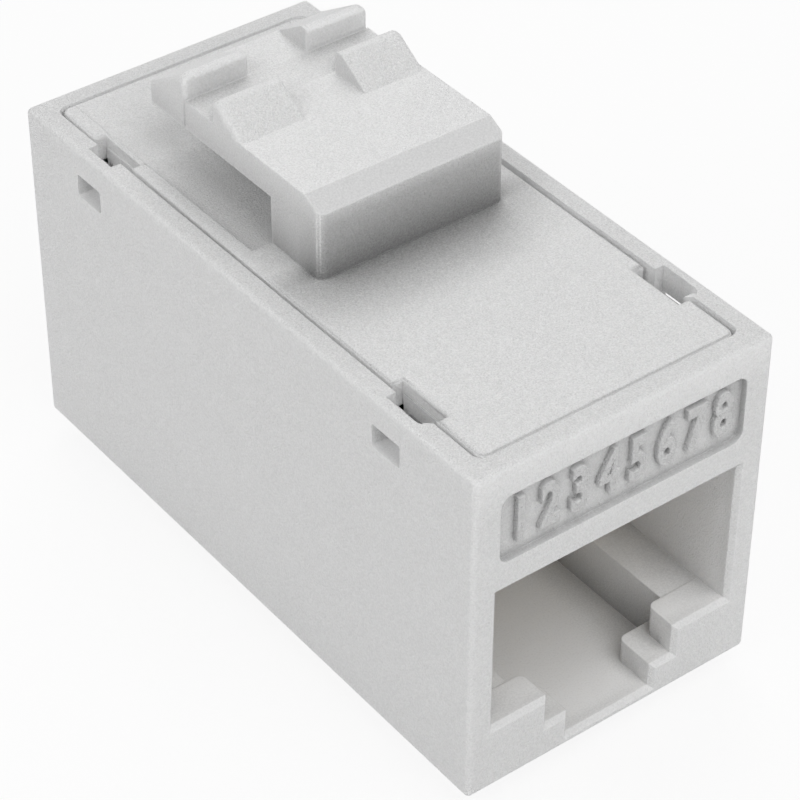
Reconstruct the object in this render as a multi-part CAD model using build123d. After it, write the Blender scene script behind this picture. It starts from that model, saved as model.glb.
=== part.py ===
from build123d import *
import os

# In-line keystone jack, in millimetres: an RJ45 port at each end of a plain long box, a clip-on
# top cover with the springy latch, and the contacts on a circuit board under the cover.
# X runs across, Y from the front port to the rear port, Z up. The origin is on the underside,
# at the middle of the box. A station is a distance behind the front face.

# Box of the housing
body_width = 14.5
body_length = 30.3
body_height = 16.2
edge_round = 0.25

# Port, the same at both ends
port_width = 12.0
port_depth = 12.8
mouth_chamfer = 0.21
floor_thickness = 0.55
ledge_height = 3.22
ledge_depth = 1.7
key_width = 6.5
step_height = 1.72
step_depth = 2.1
tab_slot_width = 4.3
rail_height = 3.17
rail_gap = 8.0
block_round = 0.35

# Room for the board above the ports, and the cored wall between the ports
tray_wall = 1.4
tray_end_wall = 2.0
shelf_depth = 0.6
shelf_rise = 0.5
core_wall = 1.0
core_floor = 1.5

# Recessed label panel over the front port
label_width = 12.0
label_height = 3.2
label_drop = 1.37
label_depth = 0.32
label_round = 0.5

# Top cover and the seat that it drops into
cover_thickness = 1.2
cover_side_gap = 0.18
cover_end_gap = 0.07
rim_width = 0.92
rim_end_width = 0.95
seat_round = 0.45
cover_edge_round = 0.2

# Snap hooks of the cover, and their slots and windows in the side walls
snap_station = 5.02
window_width = 1.7
window_height = 1.06
window_top = 1.22
window_shift = 0.27
window_round = 0.12
slot_width = 1.7
slot_wall = 0.47
front_slot_lead = 0.55
lead_drop = 0.35
slot_round = 0.5
notch_width = 2.65
notch_depth = 0.5
hook_width = 2.4
hook_thickness = 0.65
hook_inset = 0.15
hook_reach = 1.7
barb_width = 1.3
barb_shift = 0.13
barb_depth = 0.5
barb_lip = 0.35
snap_gap = 0.06

# Latch: post on the cover, arm towards the rear, and the gap that grips the panel
latch_width = 9.1
post_station = 13.05
post_length = 3.22
post_round = 0.35
latch_height = 3.54
arm_thickness = 1.34
arm_length = 8.58
chamfer_run = 1.0
chamfer_drop = 0.5
relief_width = 11.04
relief_depth = 0.3
relief_end_depth = 0.05
panel_station = 20.25
panel_gap = 1.9
tooth_height = 1.0
tooth_width = 3.05
tooth_ramp = 2.05
tooth_land = 0.45
tooth_root = 0.4
tooth_round = 0.2
tooth_side_round = 0.35
arm_end_drop = 0.42

# Fixed catch under the housing, opposite the gap of the latch
catch_width = 9.1
catch_height = 1.0
catch_ramp = 1.85
catch_land = 0.35

# Circuit board, hung at this height under the cover
board_headroom = 1.8
board_thickness = 1.0
board_side_gap = 0.25
board_end_gap = 0.4
board_round = 0.5
pin_hole = 0.75

# Contact springs, flat wire bent once below the board and once at the tip
contact_count = 8
contact_pitch = 1.02
wire_width = 0.45
wire_thickness = 0.35
wire_bend = 0.5
leg_station = 4.0
leg_stagger = 0.6
pin_rise = 0.7
spring_drop = 0.3
spring_slope = 0.3
tip_station = 11.0
tip_length = 1.05
tip_rise = 0.15

# Contact carriers, with a comb at the back of each port
carrier_thickness = 1.8
carrier_gap = 0.05
carrier_middle_gap = 0.25
leg_slot_ahead = 0.35
leg_slot_behind = 0.75
comb_station = 11.6
comb_clearance = 0.05
comb_length = 3.0
comb_slot = 0.62
comb_wall = 0.5

cover_bottom = body_height - cover_thickness
cover_width = body_width - 2 * rim_width - 2 * cover_side_gap
cover_length = body_length - 2 * rim_end_width - 2 * cover_end_gap
tray_width = body_width - 2 * tray_wall
board_bottom = cover_bottom - board_headroom - board_thickness
port_roof = board_bottom - carrier_thickness
label_bottom = body_height - label_drop - label_height
comb_bottom = port_roof - comb_length
hook_outer = tray_width / 2 - hook_inset
window_floor = body_height - window_top - window_height
latch_top = body_height + latch_height
arm_root = post_station + post_length


def station(distance):
    """Y of a place at this distance behind the front face."""
    return distance - body_length / 2


def across(distance):
    """Plane across the box at a station, with X to the right and Z up."""
    return Plane.XZ.offset(-station(distance))


def bar(points, width, middle=0.0):
    """Solid with an outline of (station, height) points, centred on X = middle."""
    outline = make_face(Polyline(*[(station(s), z) for s, z in points], close=True))
    return Pos(middle, 0, 0) * extrude(Plane.YZ * outline, amount=width / 2, both=True)


def block(width, first, last, bottom, top, middle=0.0):
    """Plain block between two stations and two heights."""
    return bar([(first, bottom), (last, bottom), (last, top), (first, top)], width, middle)


def at_both_ends(solid):
    """A solid together with its mirror image at the other end of the box."""
    return solid + mirror(solid, about=Plane.XZ)


def port_outline(grow):
    """Stepped mouth of a port in X and Z, grown by this much everywhere but at the roof."""
    half = port_width / 2 + grow
    key = key_width / 2 + grow
    slot = tab_slot_width / 2 + grow
    ledge = ledge_height - grow
    step = step_height - grow
    floor = floor_thickness - grow
    right = [(half, port_roof), (half, ledge), (key, ledge), (key, step), (slot, step), (slot, floor)]
    left = [(-x, z) for x, z in reversed(right)]
    return make_face(Polyline(*right, *left, close=True))


def chamber_outline(floor):
    """Inside of a port behind the mouth: a rail along each side and a channel between them."""
    half = port_width / 2
    rail = rail_gap / 2
    right = [(half, port_roof), (half, rail_height), (rail, rail_height), (rail, floor)]
    left = [(-x, z) for x, z in reversed(right)]
    return make_face(Polyline(*right, *left, close=True))


def port_hollow():
    """Room of the front port, from its chamfered mouth to its back wall."""
    flare = loft([across(0) * port_outline(mouth_chamfer), across(mouth_chamfer) * port_outline(0)])
    mouth = extrude(across(0) * port_outline(0), amount=-step_depth)
    over_step = extrude(across(ledge_depth) * chamber_outline(step_height), amount=ledge_depth - port_depth)
    channel = extrude(across(step_depth) * chamber_outline(floor_thickness), amount=step_depth - port_depth)
    return flare + mouth + over_step + channel


def tray_hollow():
    """Room for carriers and board, with a shelf at each end, and the seat of the cover above."""
    first = tray_end_wall
    last = body_length - tray_end_wall
    shelf_top = port_roof + shelf_rise
    room = bar(
        [
            (first + shelf_depth, port_roof),
            (last - shelf_depth, port_roof),
            (last - shelf_depth, shelf_top),
            (last, shelf_top),
            (last, cover_bottom),
            (first, cover_bottom),
            (first, shelf_top),
            (first + shelf_depth, shelf_top),
        ],
        tray_width,
    )
    seat_outline = RectangleRounded(body_width - 2 * rim_width, body_length - 2 * rim_end_width, seat_round)
    seat = extrude(Pos(0, 0, cover_bottom) * seat_outline, amount=cover_thickness)
    core = block(tray_width - 2 * core_wall, port_depth + core_wall,
                 body_length - port_depth - core_wall, core_floor, port_roof)
    return room + seat + core


def snap_cut(rear):
    """Slot and window of one snap hook in the right wall. The front slot has a sloping lead-in."""
    middle = body_length - snap_station if rear else snap_station
    inner = tray_width / 2
    outer = body_width / 2 - slot_wall
    first = station(middle - slot_width / 2 - (0 if rear else front_slot_lead))
    last = station(middle + slot_width / 2)
    plan = make_face(Polyline((inner, first), (outer, first), (outer, last), (inner, last), close=True))
    if not rear:
        lead_corner = plan.vertices().group_by(Axis.Y)[0].sort_by(Axis.X)[-1]
        plan = fillet(lead_corner, slot_round)
    slot = extrude(Pos(0, 0, window_floor) * plan, amount=body_height - window_floor)
    reach = body_width / 2 - inner
    if not rear:
        lead_foot = middle - slot_width / 2
        lead_front = lead_foot - front_slot_lead
        below_lead = bar(
            [
                (lead_front - front_slot_lead, window_floor),
                (lead_foot, window_floor),
                (lead_foot, body_height - lead_drop),
                (lead_front, body_height),
                (lead_front - front_slot_lead, body_height),
            ],
            reach,
            inner + reach / 2,
        )
        slot -= below_lead
    window_middle = middle + window_shift
    window = block(reach, window_middle - window_width / 2, window_middle + window_width / 2,
                   window_floor, window_floor + window_height, inner + reach / 2)
    window = fillet(window.edges().filter_by(Axis.X), window_round)
    return slot + window


def panel_catch():
    """Two lips under the housing, whose steep sides stand opposite the gap of the latch."""
    front_edge = panel_station
    rear_edge = panel_station + panel_gap
    root = floor_thickness / 2
    front_lip = bar(
        [
            (front_edge - catch_land - catch_ramp, 0),
            (front_edge - catch_land, -catch_height),
            (front_edge, -catch_height),
            (front_edge, root),
            (front_edge - catch_land - catch_ramp, root),
        ],
        catch_width,
    )
    rear_lip = bar(
        [
            (rear_edge, root),
            (rear_edge, -catch_height),
            (rear_edge + catch_land, -catch_height),
            (rear_edge + catch_land + catch_ramp, 0),
            (rear_edge + catch_land + catch_ramp, root),
        ],
        catch_width,
    )
    return front_lip + rear_lip


def housing():
    """One moulding: box with two ports, board tray, cover seat, snap windows, label and catch."""
    shell = extrude(Rectangle(body_width, body_length), amount=body_height)
    shell = fillet(shell.edges(), edge_round)
    shell -= at_both_ends(port_hollow())
    shell -= tray_hollow()
    for rear in (False, True):
        cut = snap_cut(rear)
        shell -= cut + mirror(cut, about=Plane.YZ)
    label = Pos(0, label_bottom + label_height / 2) * RectangleRounded(label_width, label_height, label_round)
    shell -= extrude(across(0) * label, amount=-label_depth)
    corners = [(key_width / 2, ledge_depth), (tab_slot_width / 2, step_depth)]
    upright = shell.edges().filter_by(Axis.Z)
    for half, depth in corners:
        for edge in upright:
            spot = edge.center()
            at_end = abs(abs(spot.Y) + station(depth)) < 0.01
            if at_end and abs(abs(spot.X) - half) < 0.01:
                shell = fillet(shell.edges().filter_by(Axis.Z).sort_by_distance(spot)[0], block_round)
    return shell + panel_catch()


def snap_hook(rear):
    """Right-hand hook under the cover: a wide leaf, and a narrower barb that enters its window."""
    middle = body_length - snap_station if rear else snap_station
    leaf_middle = hook_outer - hook_thickness / 2
    leaf = block(hook_thickness, middle - hook_width / 2, middle + hook_width / 2,
                 cover_bottom - hook_reach, cover_bottom + cover_thickness / 2, leaf_middle)
    barb_top = window_floor + window_height - snap_gap
    barb_tip = body_width / 2 - barb_depth
    slope_foot = window_floor + snap_gap
    outline = make_face(
        Polyline(
            (leaf_middle, barb_top),
            (barb_tip, barb_top),
            (barb_tip, barb_top - barb_lip),
            (tray_width / 2, slope_foot),
            (hook_outer, slope_foot - hook_inset / 2),
            (leaf_middle, slope_foot - hook_inset / 2),
            close=True,
        )
    )
    return leaf + extrude(across(middle + barb_shift) * outline, amount=barb_width / 2, both=True)


def top_cover():
    """Lid with edge notches, hooks, a relief under the arm, and the post that carries the arm."""
    plate = extrude(
        Pos(0, 0, cover_bottom) * RectangleRounded(cover_width, cover_length, seat_round - cover_end_gap),
        amount=cover_thickness,
    )
    for middle in (snap_station, body_length - snap_station):
        side = cover_width / 2 - notch_depth / 2
        notch = block(notch_depth, middle - notch_width / 2, middle + notch_width / 2,
                      cover_bottom, body_height, side)
        plate -= notch + mirror(notch, about=Plane.YZ)
    plate = fillet(plate.faces().sort_by(Axis.Z)[-1].edges(), cover_edge_round)
    relief = bar(
        [
            (arm_root, body_height - relief_depth),
            (body_length, body_height - relief_end_depth),
            (body_length, latch_top),
            (arm_root, latch_top),
        ],
        relief_width,
    )
    plate -= relief
    for rear in (False, True):
        hook = snap_hook(rear)
        plate += hook + mirror(hook, about=Plane.YZ)
    hold_down = block(tray_width / 2, body_length / 2 - cover_thickness / 2,
                      body_length / 2 + cover_thickness / 2,
                      board_bottom + board_thickness + snap_gap, cover_bottom)
    post = bar(
        [
            (post_station, cover_bottom),
            (post_station, latch_top - chamfer_drop),
            (post_station + chamfer_run, latch_top),
            (arm_root, latch_top),
            (arm_root, cover_bottom),
        ],
        latch_width,
    )
    front_corners = post.edges().filter_by(Axis.Z).group_by(Axis.Y)[0]
    post = fillet(front_corners, post_round)
    return plate + hold_down + post


def latch_tooth(outline, side):
    """A tooth or rib at one side of the arm, its top edges rounded, most along the arm's side."""
    middle = side * (latch_width - tooth_width) / 2
    body = bar(outline, tooth_width, middle)
    outside = latch_width / 2
    rear_end = max(station(s) for s, z in outline)
    slanted = []
    for edge in body.edges():
        spot = edge.center()
        upright = abs(edge.tangent_at(0.5).Z) > 0.99
        at_rear_end = abs(spot.Y - rear_end) < 0.001 and rear_end > station(panel_station)
        if abs(spot.X * side - outside) < 0.001 and (at_rear_end if upright else spot.Z > latch_top):
            slanted.append(edge)
    body = fillet(slanted, tooth_side_round)
    crest = [edge for edge in body.edges().filter_by(Axis.X) if edge.center().Z > latch_top + tooth_height / 2]
    return fillet(crest, tooth_round)


def latch_arm():
    """Springy arm behind the post, with ramped front teeth and rear ribs around the panel gap."""
    end = arm_root + arm_length
    under = latch_top - arm_thickness
    crest = latch_top + tooth_height
    foot = latch_top - tooth_root
    ramp_slope = (tooth_ramp - tooth_land) / tooth_height
    ramp = [
        (panel_station - tooth_ramp - tooth_root * ramp_slope, foot),
        (panel_station - tooth_land, crest),
        (panel_station, crest),
        (panel_station, foot),
    ]
    rib_face = panel_station + panel_gap
    rib_slope = (end - rib_face - tooth_land) / (tooth_height + arm_end_drop)
    rib = [
        (rib_face, under),
        (rib_face, crest),
        (rib_face + tooth_land, crest),
        (end, latch_top - arm_end_drop),
        (end, under),
    ]
    tail = [
        (rib_face, under),
        (rib_face, latch_top),
        (end - arm_end_drop * rib_slope, latch_top),
        (end, latch_top - arm_end_drop),
        (end, under),
    ]
    arm = block(latch_width, arm_root, rib_face, under, latch_top)
    arm += bar(tail, latch_width - 2 * tooth_width)
    for side in (-1, 1):
        arm += latch_tooth(ramp, side) + latch_tooth(rib, side)
    return arm


def pin_stations():
    """X and station of each contact's leg, in two staggered rows."""
    places = []
    for index in range(contact_count):
        x = (index - (contact_count - 1) / 2) * contact_pitch
        shift = -leg_stagger if index % 2 == 0 else leg_stagger
        places.append((x, leg_station + shift))
    return places


def circuit_board():
    """Plain board on the carriers, with a plated hole for every contact leg."""
    length = body_length - 2 * tray_end_wall - 2 * board_end_gap
    plan = RectangleRounded(tray_width - 2 * board_side_gap, length, board_round)
    for x, place in pin_stations():
        for y in (station(place), -station(place)):
            plan -= Pos(x, y) * Circle(pin_hole / 2)
    return extrude(Pos(0, 0, board_bottom) * plan, amount=board_thickness)


def contact_carrier():
    """Front carrier: roof of the port, slots for the legs, and a comb that guides the tips."""
    first = tray_end_wall + carrier_gap
    last = (body_length - carrier_middle_gap) / 2
    shelf_edge = tray_end_wall + shelf_depth + carrier_gap
    width = tray_width - 2 * carrier_gap
    carrier = bar(
        [
            (first, port_roof + shelf_rise),
            (shelf_edge, port_roof + shelf_rise),
            (shelf_edge, port_roof),
            (last, port_roof),
            (last, board_bottom),
            (first, board_bottom),
        ],
        width,
    )
    comb_width = (contact_count - 1) * contact_pitch + comb_slot + 2 * comb_wall
    carrier += block(comb_width, comb_station, port_depth - comb_clearance, comb_bottom, port_roof)
    for x, place in pin_stations():
        carrier -= block(comb_slot, place - leg_slot_ahead, place + leg_slot_behind,
                         port_roof, board_bottom, x)
        carrier -= block(comb_slot, comb_station, port_depth, comb_bottom, port_roof, x)
    return carrier


def contact(x, place):
    """One spring: pin through the board, leg, long slope into the port and a turned-up tip."""
    def slope_height(at):
        return port_roof - spring_drop - spring_slope * (at - leg_station)

    route = FilletPolyline(
        (x, station(place), board_bottom + board_thickness + pin_rise),
        (x, station(place), slope_height(place)),
        (x, station(tip_station), slope_height(tip_station)),
        (x, station(tip_station + tip_length), slope_height(tip_station) + tip_rise),
        radius=wire_bend,
    )
    section = Plane(origin=route @ 0, x_dir=(1, 0, 0), z_dir=route % 0) * Rectangle(wire_width, wire_thickness)
    return sweep(section, path=route)


def build():
    """Every sub-part by its node name."""
    parts = {
        "housing": housing(),
        "top_cover": top_cover(),
        "latch_arm": latch_arm(),
        "circuit_board": circuit_board(),
    }
    carrier = contact_carrier()
    parts["front_contact_carrier"] = carrier
    parts["rear_contact_carrier"] = mirror(carrier, about=Plane.XZ)
    for index, (x, place) in enumerate(pin_stations(), start=1):
        spring = contact(x, place)
        parts[f"front_contact_{index}"] = spring
        parts[f"rear_contact_{index}"] = mirror(spring, about=Plane.XZ)
    return parts


os.makedirs("parts", exist_ok=True)
for name, solid in build().items():
    export_step(solid, os.path.join("parts", name + ".step"))
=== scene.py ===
import math

import bpy
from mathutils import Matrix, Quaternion, Vector


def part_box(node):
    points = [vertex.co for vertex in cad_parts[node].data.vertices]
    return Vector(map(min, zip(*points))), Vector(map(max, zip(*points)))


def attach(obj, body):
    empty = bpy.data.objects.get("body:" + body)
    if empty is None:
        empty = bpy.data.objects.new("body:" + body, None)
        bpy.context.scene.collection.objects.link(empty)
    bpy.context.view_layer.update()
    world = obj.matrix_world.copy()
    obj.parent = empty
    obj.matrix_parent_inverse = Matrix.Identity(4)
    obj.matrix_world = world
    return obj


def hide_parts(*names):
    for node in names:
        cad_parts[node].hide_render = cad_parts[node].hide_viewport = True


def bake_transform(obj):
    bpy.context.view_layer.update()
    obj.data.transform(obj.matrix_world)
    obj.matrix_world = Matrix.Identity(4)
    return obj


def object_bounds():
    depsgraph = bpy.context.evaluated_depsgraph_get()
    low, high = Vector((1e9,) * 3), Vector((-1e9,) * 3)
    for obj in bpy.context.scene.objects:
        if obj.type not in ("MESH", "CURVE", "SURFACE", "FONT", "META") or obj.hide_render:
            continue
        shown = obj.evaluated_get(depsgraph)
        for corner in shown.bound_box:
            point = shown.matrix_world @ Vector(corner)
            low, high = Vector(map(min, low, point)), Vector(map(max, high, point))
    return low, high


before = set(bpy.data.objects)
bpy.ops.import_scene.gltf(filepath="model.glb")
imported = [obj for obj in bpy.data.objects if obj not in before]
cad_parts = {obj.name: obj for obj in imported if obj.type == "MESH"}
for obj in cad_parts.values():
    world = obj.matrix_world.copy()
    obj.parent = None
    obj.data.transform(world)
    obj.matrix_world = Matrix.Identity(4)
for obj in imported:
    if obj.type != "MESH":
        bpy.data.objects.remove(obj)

# White in-line keystone jack on a white floor. All lengths are in metres, in the frame of the
# CAD. X runs across, Y from the front port to the rear port, Z up.

MM = 0.001

cad_low, cad_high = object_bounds()

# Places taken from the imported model
housing_low, housing_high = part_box("housing")
_, cover_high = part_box("top_cover")
arm_low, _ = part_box("latch_arm")
body_top = housing_high.z
front_face = housing_low.y
arm_root = arm_low.y
arm_underside = arm_low.z
latch_top = cover_high.z

# Places on the latch that no box gives
post_front = arm_root - 3.22 * MM
chamfer_end = post_front + 1 * MM
rib_face = arm_root + 5.88 * MM
panel_gap = 1.9 * MM
beyond_post = 5.8 * MM

# Places in the housing where its look changes: how deep in its walls the outside ends and the
# inside begins, the foot of the label panel, and rails, ledges and free middle of the port
wall_skin = 0.4 * MM
wall_core = 0.9 * MM
label_foot = 10.5 * MM
rail_side = 5.3 * MM
ledge_top = 7 * MM
port_middle = 1 * MM

# Limits for the work on meshes: what counts as the same place, as an exact cut, as flat and
# as facing a way
same_place = 0.01 * MM
exact_cut = 0.0001 * MM
flat_angle = math.radians(0.5)
facing = 0.9

# The plastic, its roughness and its faint clouds
white_plastic = (0.86, 0.86, 0.86)
base_tint = 0.98
base_roughness = 0.44
cloud_size = 2 * MM
cloud_roughness = 0.12
cloud_shade = 0.04

# Its tool texture: size of the grain, height of its bumps and strength of its speckle
side_grain_size = 0.08 * MM
side_speckle = 0.35
top_grain_size = 0.065 * MM
top_grain = 0.09 * MM
top_speckle = 0.5

# Tiny rounding that every edge of a mould has, with a painted highlight line along it and a
# wider painted highlight band beside it. A gain says how fast line or band grows as the surface
# turns.
mould_edge = 0.07 * MM
line_gain = 12.0
line_painted_highlight = 0.08
painted_band_width = 0.22 * MM
band_gain = 4.0
band_painted_highlight = 0.08

# Painted shade: how much darker the plastic is made where it is closed in, on each part
# and in some places of it
housing_shade = 0.8
label_shade = 0.7
rail_shade = 1.4
cover_shade = 1.3
latch_shade = 1.4
gap_shade = 0.6
number_shade = 0.3

# Share of that painted shade that the painted highlight line and the post's rear wall are
# spared
highlight_line_spared = 0.7
rear_wall_spared = 0.7

# Limits of the tint that all of this adds up to
darkest = 0.25
palest = 1.15

# Painted light and shade: how much paler or darker some places are made, closed in or not
inside_painted_light = 0.14
front_painted_light = 0.1
rim_painted_shade = 0.05
chamfer_painted_shade = 0.2
arm_painted_light = 0.06
rib_left_painted_light = 0.07
rib_right_painted_light = 0.1

# Stretch of the arm that bends, behind the post
bend_length = 1.8 * MM
bend_steps = 8

# Pin numbers in the label panel over the front port, one for each contact. The last value is
# the height of the font's digits, as a share of its size.
contact_count = 8
label_middle = 13.23 * MM
label_floor = front_face + 0.32 * MM
number_height = 2.0 * MM
number_width = 0.66
number_spacing = 1.42 * MM
number_relief = 0.2 * MM
number_bevel = 0.06 * MM
number_boldness = 0.05 * MM
number_sunk = 0.02 * MM
digit_share = 0.71

# How far the floor lies below the jack, and how much of it is plain white to the camera
floor_gap = 0.02 * MM
floor_glow = 0.88

# Square lamps, all at the same distance from the point that they look at
lamp_target = Vector((0, 0, 8 * MM))
lamp_distance = 0.25
lamp_size = 0.18

# Camera of the photograph
camera_place = Vector((-57.993, -77.029, 85.043)) * MM
camera_azimuth = -37.4301
camera_elevation = 39.0881
camera_roll = 0.2649
camera_lens = 133.655


# Tools for the meshes


def only(piece):
    """Makes one object the active one and the only one selected."""
    bpy.ops.object.select_all(action="DESELECT")
    piece.select_set(True)
    bpy.context.view_layer.objects.active = piece


def edit_all(piece):
    """Opens a mesh for editing with all of it selected."""
    only(piece)
    bpy.ops.object.mode_set(mode="EDIT")
    bpy.ops.mesh.select_all(action="SELECT")


def edit_faces(piece, test):
    """Opens a mesh for editing with only the faces selected that pass a test."""
    only(piece)
    mesh = piece.data
    for part in (mesh.vertices, mesh.edges, mesh.polygons):
        part.foreach_set("select", [False] * len(part))
    for face in mesh.polygons:
        face.select = test(face)
    bpy.ops.object.mode_set(mode="EDIT")
    bpy.ops.mesh.select_mode(type="FACE")


def done_editing():
    bpy.ops.object.mode_set(mode="OBJECT")


def fill_holes(**choice):
    """Closes each open outline of the mesh that is being edited with one face."""
    bpy.ops.mesh.select_all(action="DESELECT")
    bpy.ops.mesh.select_mode(type="EDGE")
    bpy.ops.mesh.select_non_manifold(**choice)
    bpy.ops.mesh.edge_face_add()


def copy_of(node, name):
    """A piece with a CAD node's shape, its loose triangles merged into whole faces."""
    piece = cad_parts[node].copy()
    piece.data = piece.data.copy()
    for key in list(piece.keys()):
        if key.startswith("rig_"):
            del piece[key]
    piece.parent = None
    piece.name = name
    piece.data.name = name
    bpy.context.scene.collection.objects.link(piece)
    piece.hide_render = False
    piece.hide_viewport = False
    edit_all(piece)
    bpy.ops.mesh.remove_doubles(threshold=0.002 * MM)
    bpy.ops.mesh.dissolve_limited(angle_limit=flat_angle)
    done_editing()
    return piece


def smooth(piece):
    """Shades the rounded places smooth and leaves the real edges."""
    only(piece)
    bpy.ops.object.shade_smooth_by_angle(angle=math.radians(20))


def weigh_normals(piece):
    """Keeps large flat faces flat where they run into a rounding."""
    only(piece)
    bpy.ops.object.modifier_add(type="WEIGHTED_NORMAL")
    piece.modifiers[-1].keep_sharp = True


# Tools for the materials


class Plug:
    """An output in a node tree, or the tree alone. Sums on it add Math nodes."""

    def __init__(self, tree, socket=None):
        self.tree = tree
        self.socket = socket

    def node(self, kind, inputs=None, out=0, stops=(), **settings):
        """Adds a node of this type and gives back one of its outputs. The two stops of a ramp
        are given as place and grey level."""
        made = self.tree.nodes.new(kind)
        for key, value in settings.items():
            setattr(made, key, value)
        for index, (place, level) in enumerate(stops):
            made.color_ramp.elements[index].position = place
            made.color_ramp.elements[index].color = (level, level, level, 1)
        for key, value in (inputs or {}).items():
            if isinstance(value, Plug):
                self.tree.links.new(value.socket, made.inputs[key])
            else:
                made.inputs[key].default_value = value
        return Plug(self.tree, made.outputs[out])

    def mix(self, share, first, second, blend_type="MIX"):
        """A colour made of two others."""
        return self.node(
            "ShaderNodeMix",
            {0: share, 6: first, 7: second},
            out=2,
            data_type="RGBA",
            blend_type=blend_type,
        )

    def show_on(self, output):
        """Makes this the surface that an output node shows."""
        self.tree.links.new(self.socket, output.inputs[0])

    def sum(self, operation, first, second=0.0):
        return self.node("ShaderNodeMath", {0: first, 1: second}, operation=operation)

    def __add__(self, other):
        return self.sum("ADD", self, other)

    __radd__ = __add__

    def __sub__(self, other):
        return self.sum("SUBTRACT", self, other)

    def __rsub__(self, other):
        return self.sum("SUBTRACT", other, self)

    def __mul__(self, other):
        return self.sum("MULTIPLY", self, other)

    __rmul__ = __mul__

    def absolute(self):
        return self.sum("ABSOLUTE", self)

    def clipped(self, low, high):
        """This value kept between two numbers."""
        return self.sum("MINIMUM", self.sum("MAXIMUM", self, low), high)

    def rise(self, start, end):
        """0 at the start, 1 at the end and straight in between, whichever way they lie."""
        return ((self - start) * (1 / (end - start))).clipped(0.0, 1.0)

    def between(self, low, high, fade):
        """1 between two numbers and 0 outside, with a fade just inside each of them."""
        return self.rise(low, low + fade) * self.rise(high, high - fade)


def empty_tree(owner, output_kind):
    """Clears the nodes of a material or world. Gives back its tree and a new output node."""
    owner.use_nodes = True
    owner.node_tree.nodes.clear()
    return Plug(owner.node_tree), owner.node_tree.nodes.new(output_kind)


def new_material(name):
    """An empty node material, its tree and its output node."""
    material = bpy.data.materials.new(name)
    return material, *empty_tree(material, "ShaderNodeOutputMaterial")


def noise(tree, place, grain_size, detail):
    """Cloudy noise with grains of about this size."""
    return tree.node(
        "ShaderNodeTexNoise",
        {"Vector": place, "Scale": 1 / grain_size, "Detail": detail, "Roughness": 0.6},
    )


def edge_band(rounded, normal, gain):
    """1 where a rounding turns the surface, 0 on the flat."""
    flat = rounded.node(
        "ShaderNodeVectorMath", {0: rounded, 1: normal}, out=1, operation="DOT_PRODUCT"
    )
    return ((1 - flat) * gain).clipped(0.0, 1.0)


def faces_up(upward):
    """1 on faces that look up, 0 on walls and undersides."""
    return upward.rise(0.55, 0.8)


def plastic(name, where, side_grain=0.08 * MM, corner_shade=0.0, corner_reach=1 * MM):
    """White moulded plastic with faint clouds, tool texture, painted edge highlights, painted
    corner shade.

    The function "where" places the top's grain, the painted shade and other painted light and
    shade.
    """
    material, tree, output = new_material(name)
    place = tree.node("ShaderNodeTexCoord", out=3)
    x, y, z = [tree.node("ShaderNodeSeparateXYZ", {0: place}, out=axis) for axis in range(3)]
    normal = tree.node("ShaderNodeNewGeometry", out=1)
    sideways = tree.node("ShaderNodeSeparateXYZ", {0: normal}, out=0)
    upward = tree.node("ShaderNodeSeparateXYZ", {0: normal}, out=2)
    up = faces_up(upward)
    grain_place, shade_place, painted_light_place = where(x, y, z, sideways, upward)

    clouds = noise(tree, place, cloud_size, detail=3.0)
    fine = noise(tree, place, side_grain_size, detail=2.0)
    coarse = noise(tree, place, top_grain_size, detail=2.0)
    on_top = up * grain_place
    relief = (fine - 0.5) * (1 - up) * side_grain + (coarse - 0.5) * on_top * top_grain
    edge = tree.node("ShaderNodeBevel", {"Radius": mould_edge}, samples=4)
    wide_edge = tree.node("ShaderNodeBevel", {"Radius": painted_band_width}, samples=4)
    bump = tree.node(
        "ShaderNodeBump", {"Height": relief, "Distance": 1.0, "Strength": 1.0, "Normal": edge}
    )

    # Painted highlights: a fine line and a wider band along every edge
    line = edge_band(edge, normal, line_gain)
    band = edge_band(wide_edge, normal, band_gain)
    speckle = (fine - 0.5) * side_speckle + (coarse - 0.5) * on_top * top_speckle
    tint = clouds * cloud_shade + base_tint + speckle
    tint = tint + band * band_painted_highlight + line * line_painted_highlight + painted_light_place
    # Painted shade in closed corners, from an ambient occlusion node, less on the painted
    # highlight line
    if corner_shade:
        openness = tree.node(
            "ShaderNodeAmbientOcclusion", {"Distance": corner_reach}, out=1, samples=8
        )
        tint = tint - (1 - openness) * shade_place * (1 - line * highlight_line_spared) * corner_shade
    tint = tint.clipped(darkest, palest)
    tree.node(
        "ShaderNodeBsdfPrincipled",
        {
            "Base Color": tree.mix(1.0, (*white_plastic, 1), tint, blend_type="MULTIPLY"),
            "Roughness": clouds * cloud_roughness + base_roughness,
            "Normal": bump,
            "IOR": 1.5,
            "Subsurface Weight": 0.2,
            "Subsurface Radius": (1.0, 1.0, 1.0),
            "Subsurface Scale": 0.6 * MM,
        },
    ).show_on(output)
    return material


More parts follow.
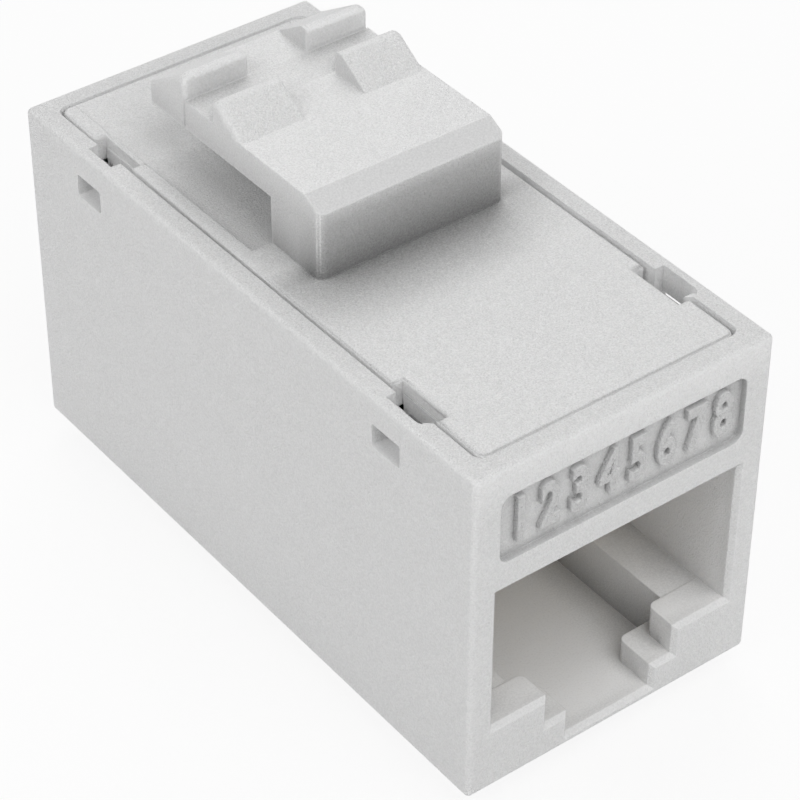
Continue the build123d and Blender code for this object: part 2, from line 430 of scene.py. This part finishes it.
def housing_places(x, y, z, sideways, upward):
    """Grain on the top rim, with painted shade that makes it a little darker, painted shade in
    the label panel and at the ledges and rails of the port, and painted light inside the walls
    and high on the front."""
    across = x.absolute()
    along = y.absolute()
    inside = (
        across.rise(housing_high.x - wall_skin, housing_high.x - wall_core)
        * along.rise(housing_high.y - wall_skin, housing_high.y - wall_core)
        * z.rise(body_top, body_top - 0.15 * MM)
    )
    label = y.rise(front_face + 0.6 * MM, front_face + 0.4 * MM)
    label = label * z.rise(label_foot, label_foot + 0.5 * MM)
    rail = sideways.rise(-0.5, -0.9) * across.rise(rail_side + 0.4 * MM, rail_side)
    low_down = z.rise(ledge_top + 2 * MM, ledge_top)
    ledge = inside * low_down * (upward.rise(0.5, 0.9) + rail * rail_shade)
    beside_middle = across.rise(port_middle, port_middle + 2 * MM)
    high = z.rise(body_top - 2 * MM, body_top - 0.5 * MM)
    high_front = y.rise(front_face + 0.1 * MM, front_face) * high
    on_top = z.rise(body_top - 0.25 * MM, body_top - 0.1 * MM)
    rim = on_top * upward.rise(0.9, 1.0)
    # Painted light inside the walls and high on the front, painted shade on the flat top rim
    painted_light = inside * inside_painted_light + high_front * front_painted_light - rim * rim_painted_shade
    return on_top, label * label_shade + ledge * beside_middle, painted_light


def ahead_of_post(y, least):
    """1 ahead of the middle of the post's chamfer, falling to the least value behind it."""
    return y.rise(chamfer_end + 0.5 * MM, chamfer_end - 0.5 * MM) * (1 - least) + least


def cover_places(x, y, z, sideways, upward):
    """Grain on the top, and shade on it, most of it in front of the post."""
    on_top = z.rise(body_top - 0.5 * MM, body_top - 0.4 * MM)
    return on_top, ahead_of_post(y, 0.15) * faces_up(upward), 0.0


def latch_places(x, y, z, sideways, upward):
    """Grain behind the chamfer, painted shade low down, in the panel gap and most on the post's
    front, painted shade that darkens the chamfer, and painted light on the arm's flat top and
    the rib fronts."""
    behind = y.rise(chamfer_end - 0.02 * MM, chamfer_end + 0.04 * MM)
    low_down = z.rise(latch_top - 0.1 * MM, latch_top - 1.1 * MM) * 0.8 + 0.2
    in_gap = y.between(rib_face - panel_gap, rib_face, 0.1 * MM) * faces_up(upward)
    not_under = upward.rise(-0.6, -0.1)
    below_arm = z.rise(arm_underside + 0.1 * MM, arm_underside)
    rear_wall = y.rise(arm_root - 0.1 * MM, arm_root) * below_arm
    shade = ahead_of_post(y, 0.6) * (low_down + in_gap * gap_shade) * not_under
    shade = shade * (1 - rear_wall * rear_wall_spared)
    # Painted shade on the chamfer, painted light on the flat arm top and on the rib fronts
    chamfer = (1 - behind) * faces_up(upward)
    flat_top = behind * upward.rise(0.97, 0.995)
    rib_front = y.between(rib_face - 0.1 * MM, rib_face + 0.2 * MM, 0.1 * MM)
    rib_front = rib_front * z.rise(latch_top, latch_top + 0.2 * MM)
    rib = rib_front * (x.rise(-2 * MM, 4 * MM) * rib_right_painted_light + rib_left_painted_light)
    return behind, shade, flat_top * arm_painted_light + rib - chamfer * chamfer_painted_shade


def plain_places(x, y, z, sideways, upward):
    """No grain, shade all over."""
    return 0.0, 1.0, 0.0


def gilt():
    """Gold-plated spring wire, a little brushed along."""
    material, tree, output = new_material("gilt_wire")
    place = tree.node("ShaderNodeTexCoord", out=3)
    along_wire = tree.node(
        "ShaderNodeMapping", {"Vector": place, "Scale": (12 / MM, 0.6 / MM, 0.6 / MM)}
    )
    streaks = tree.node(
        "ShaderNodeTexNoise", {"Vector": along_wire, "Scale": 1.0, "Detail": 2.0}
    )
    tree.node(
        "ShaderNodeBsdfPrincipled",
        {
            "Base Color": tree.mix(streaks, (0.86, 0.62, 0.25, 1), (0.93, 0.73, 0.36, 1)),
            "Metallic": 1.0,
            "Roughness": streaks * 0.2 + 0.18,
        },
    ).show_on(output)
    return material


def board_mask():
    """Green solder mask over straight copper tracks that show as slightly lighter lines."""
    material, tree, output = new_material("board_mask")
    place = tree.node("ShaderNodeTexCoord", out=3)
    # A wave texture multiplies its scale by 20
    waves = tree.node(
        "ShaderNodeTexWave",
        {"Vector": place, "Scale": 0.98 / MM / 20, "Distortion": 0.0},
        wave_type="BANDS",
        bands_direction="X",
    )
    track = tree.node("ShaderNodeValToRGB", {0: waves}, stops=[(0.62, 0), (0.72, 1)])
    bump = tree.node("ShaderNodeBump", {"Height": track * (0.02 * MM), "Distance": 1.0})
    tree.node(
        "ShaderNodeBsdfPrincipled",
        {
            "Base Color": tree.mix(track, (0.012, 0.13, 0.05, 1), (0.03, 0.24, 0.10, 1)),
            "Roughness": 0.3,
            "Normal": bump,
            "Coat Weight": 0.5,
            "Coat Roughness": 0.15,
        },
    ).show_on(output)
    return material


def floor_white():
    """White floor: plain to the camera with a soft shadow, and clear when seen from below."""
    material, tree, output = new_material("floor_white")
    camera_ray = tree.node("ShaderNodeLightPath", out="Is Camera Ray")
    glossy_ray = tree.node("ShaderNodeLightPath", out="Is Glossy Ray")
    clear_ray = tree.node("ShaderNodeLightPath", out="Is Transmission Ray")
    plain = tree.node("ShaderNodeBsdfDiffuse", {"Color": (0.9, 0.9, 0.9, 1)})
    glow = tree.node("ShaderNodeEmission", {"Color": (1, 1, 1, 1), "Strength": 1.0})
    share = (camera_ray + glossy_ray + clear_ray) * floor_glow
    above = tree.node("ShaderNodeMixShader", {0: share, 1: plain, 2: glow})
    below = tree.node("ShaderNodeBsdfTransparent")
    from_below = tree.node("ShaderNodeNewGeometry", out="Backfacing")
    tree.node("ShaderNodeMixShader", {0: from_below, 1: above, 2: below}).show_on(output)
    return material


def finish_with(piece, material):
    piece.data.materials.clear()
    piece.data.materials.append(material)


housing_plastic = plastic(
    "housing_plastic", housing_places, corner_shade=housing_shade, corner_reach=2.5 * MM
)
cover_plastic = plastic(
    "cover_plastic", cover_places, corner_shade=cover_shade, corner_reach=4 * MM
)
latch_plastic = plastic(
    "latch_plastic", latch_places, corner_shade=latch_shade, corner_reach=6 * MM
)
number_plastic = plastic(
    "number_plastic", plain_places, side_grain=0.2 * MM, corner_shade=number_shade
)
carrier_plastic = plastic("carrier_plastic", plain_places)
contact_gilt = gilt()
board = board_mask()


# Cover without its post, and post and arm as one moulding, sliced where the real arm bends


def above_cover(piece, face):
    """True for a face that reaches higher than the cover's top."""
    return max(piece.data.vertices[v].co.z for v in face.vertices) > body_top + same_place


def split_at_lid(piece):
    """Cuts the post's rear wall at the lid's top, so that the post's foot is flat."""
    lid_top = max(
        vertex.co.z for vertex in piece.data.vertices if abs(vertex.co.x) > beyond_post
    )
    edit_faces(piece, lambda face: face.normal.y > facing and above_cover(piece, face))
    bpy.ops.mesh.bisect(plane_co=(0, 0, lid_top), plane_no=(0, 0, 1), threshold=exact_cut)
    done_editing()


def make_cover():
    """The lid with its hooks. The post is left to the latch moulding, whose real arm bends."""
    piece = copy_of("top_cover", "cover_lid")
    split_at_lid(piece)
    edit_faces(piece, lambda face: above_cover(piece, face))
    bpy.ops.mesh.delete(type="FACE")
    fill_holes()
    done_editing()
    smooth(piece)
    weigh_normals(piece)
    finish_with(piece, cover_plastic)
    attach(piece, "jack")
    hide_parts("top_cover")


def make_latch():
    """Post and arm in one, the arm cut into slices just behind the post, where the real one
    bends.
    """
    post = copy_of("top_cover", "latch_moulding")
    split_at_lid(post)
    edit_faces(post, lambda face: not above_cover(post, face))
    bpy.ops.mesh.delete(type="FACE")
    bpy.ops.mesh.select_all(action="SELECT")
    bpy.ops.mesh.bisect(plane_co=(0, 0, arm_underside), plane_no=(0, 0, 1))
    done_editing()
    edit_faces(post, lambda face: face.normal.y > facing and face.center.z > arm_underside)
    bpy.ops.mesh.delete(type="FACE")
    done_editing()
    arm = copy_of("latch_arm", "latch_arm_copy")
    root = arm_root + same_place
    edit_faces(arm, lambda face: face.normal.y < -facing and face.center.y < root)
    bpy.ops.mesh.delete(type="FACE")
    done_editing()
    only(post)
    arm.select_set(True)
    bpy.ops.object.join()
    edit_all(post)
    bpy.ops.mesh.remove_doubles(threshold=same_place)
    bpy.ops.mesh.dissolve_limited(angle_limit=flat_angle)
    fill_holes()
    done_editing()
    smooth(post)
    bpy.ops.object.mode_set(mode="EDIT")
    for step in range(bend_steps + 1):
        bend = arm_root + bend_length * step / bend_steps
        bpy.ops.mesh.select_all(action="SELECT")
        bpy.ops.mesh.bisect(plane_co=(0, bend, 0), plane_no=(0, 1, 0))
    done_editing()
    weigh_normals(post)
    finish_with(post, latch_plastic)
    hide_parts("latch_arm")
    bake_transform(post)


# Pin numbers in the label panel


def make_number(index):
    """One raised number with soft edges, in its place in the panel."""
    bpy.ops.object.select_all(action="DESELECT")
    bpy.ops.object.text_add()
    text = bpy.context.active_object
    text.data.body = str(index + 1)
    text.data.align_x = "CENTER"
    text.data.align_y = "CENTER"
    text.data.size = number_height / digit_share
    text.data.offset = number_boldness
    text.data.extrude = number_relief
    text.data.bevel_depth = number_bevel
    text.data.bevel_resolution = 2
    text.data.resolution_u = 6
    bpy.ops.object.convert(target="MESH")
    number = bpy.context.active_object
    number.scale.x = number_width
    number.rotation_euler = (math.radians(90), 0, 0)
    middle = (index - (contact_count - 1) / 2) * number_spacing
    number.location = (middle, label_floor, label_middle)
    bpy.ops.object.transform_apply(location=True, rotation=True, scale=True)
    return number


def make_pin_numbers():
    """Plain raised numbers 1 to 8 as one piece, cut off just behind the panel's floor."""
    numbers = [make_number(index) for index in range(contact_count)]
    only(numbers[0])
    for number in numbers[1:]:
        number.select_set(True)
    bpy.ops.object.join()
    piece = numbers[0]
    piece.name = "pin_numbers"
    piece.data.name = "pin_numbers"
    edit_all(piece)
    bpy.ops.mesh.remove_doubles(threshold=0.001 * MM)
    bpy.ops.mesh.select_all(action="SELECT")
    bpy.ops.mesh.bisect(
        plane_co=(0, label_floor + number_sunk, 0),
        plane_no=(0, 1, 0),
        clear_outer=True,
        use_fill=True,
        threshold=exact_cut,
    )
    fill_holes(use_wire=False)
    bpy.ops.mesh.select_all(action="SELECT")
    bpy.ops.mesh.delete_loose()
    done_editing()
    bpy.ops.object.shade_smooth_by_angle(angle=math.radians(40))
    finish_with(piece, number_plastic)
    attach(piece, "jack")


make_cover()
make_latch()
make_pin_numbers()


def material_of(node):
    """The material that a CAD node shows."""
    if "carrier" in node:
        return carrier_plastic
    if "_contact_" in node:
        return contact_gilt
    return {"circuit_board": board, "housing": housing_plastic}.get(node, cover_plastic)


for node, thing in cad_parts.items():
    finish_with(thing, material_of(node))


# Floor, light and camera


def make_floor():
    bpy.ops.object.select_all(action="DESELECT")
    bpy.ops.mesh.primitive_plane_add(size=4, location=(0, 0, cad_low.z - floor_gap))
    floor = bpy.context.active_object
    floor.name = "floor"
    finish_with(floor, floor_white())


def make_softbox(name, azimuth, elevation, level):
    """Square lamp that looks at the jack. At level 1 it alone shows a facing white surface
    as white."""
    lamp = bpy.data.lights.new(name, "AREA")
    lamp.shape = "SQUARE"
    lamp.size = lamp_size
    lamp.energy = level * math.pi**2 * lamp_distance**2
    holder = bpy.data.objects.new(name, lamp)
    bpy.context.scene.collection.objects.link(holder)
    turn = math.radians(azimuth)
    rise = math.radians(elevation)
    flat = math.cos(rise)
    back = Vector((math.sin(turn) * flat, -math.cos(turn) * flat, math.sin(rise)))
    holder.location = lamp_target + back * lamp_distance
    holder.rotation_mode = "QUATERNION"
    holder.rotation_quaternion = back.to_track_quat("Z", "Y")
    holder.visible_camera = False


def make_world(level):
    """Even studio light all round, which shows as white behind the floor."""
    world = bpy.data.worlds.new("studio")
    bpy.context.scene.world = world
    tree, output = empty_tree(world, "ShaderNodeOutputWorld")
    camera_ray = tree.node("ShaderNodeLightPath", out="Is Camera Ray")
    light = tree.node("ShaderNodeBackground", {0: (1, 1, 1, 1), 1: level})
    white = tree.node("ShaderNodeBackground", {0: (1, 1, 1, 1), 1: 1.0})
    tree.node("ShaderNodeMixShader", {0: camera_ray, 1: light, 2: white}).show_on(output)


def make_camera():
    data = bpy.data.cameras.new("camera")
    data.sensor_width = 36
    data.lens = camera_lens
    data.clip_start = 0.005
    data.clip_end = 10
    camera = bpy.data.objects.new("camera", data)
    bpy.context.scene.collection.objects.link(camera)
    camera.location = camera_place
    camera.rotation_mode = "QUATERNION"
    camera.rotation_quaternion = (
        Quaternion((0, 0, 1), math.radians(camera_azimuth))
        @ Quaternion((1, 0, 0), math.radians(90 - camera_elevation))
        @ Quaternion((0, 0, 1), math.radians(camera_roll))
    )
    bpy.context.scene.camera = camera


make_floor()
make_world(level=0.2)
make_softbox("key_behind", azimuth=145, elevation=45, level=0.39)
make_softbox("key_front", azimuth=0, elevation=60, level=0.38)
make_softbox("fill_front", azimuth=0, elevation=15, level=0.14)
make_softbox("fill_left", azimuth=-90, elevation=40, level=0.33)
make_camera()
bpy.context.scene.view_settings.view_transform = "Standard"
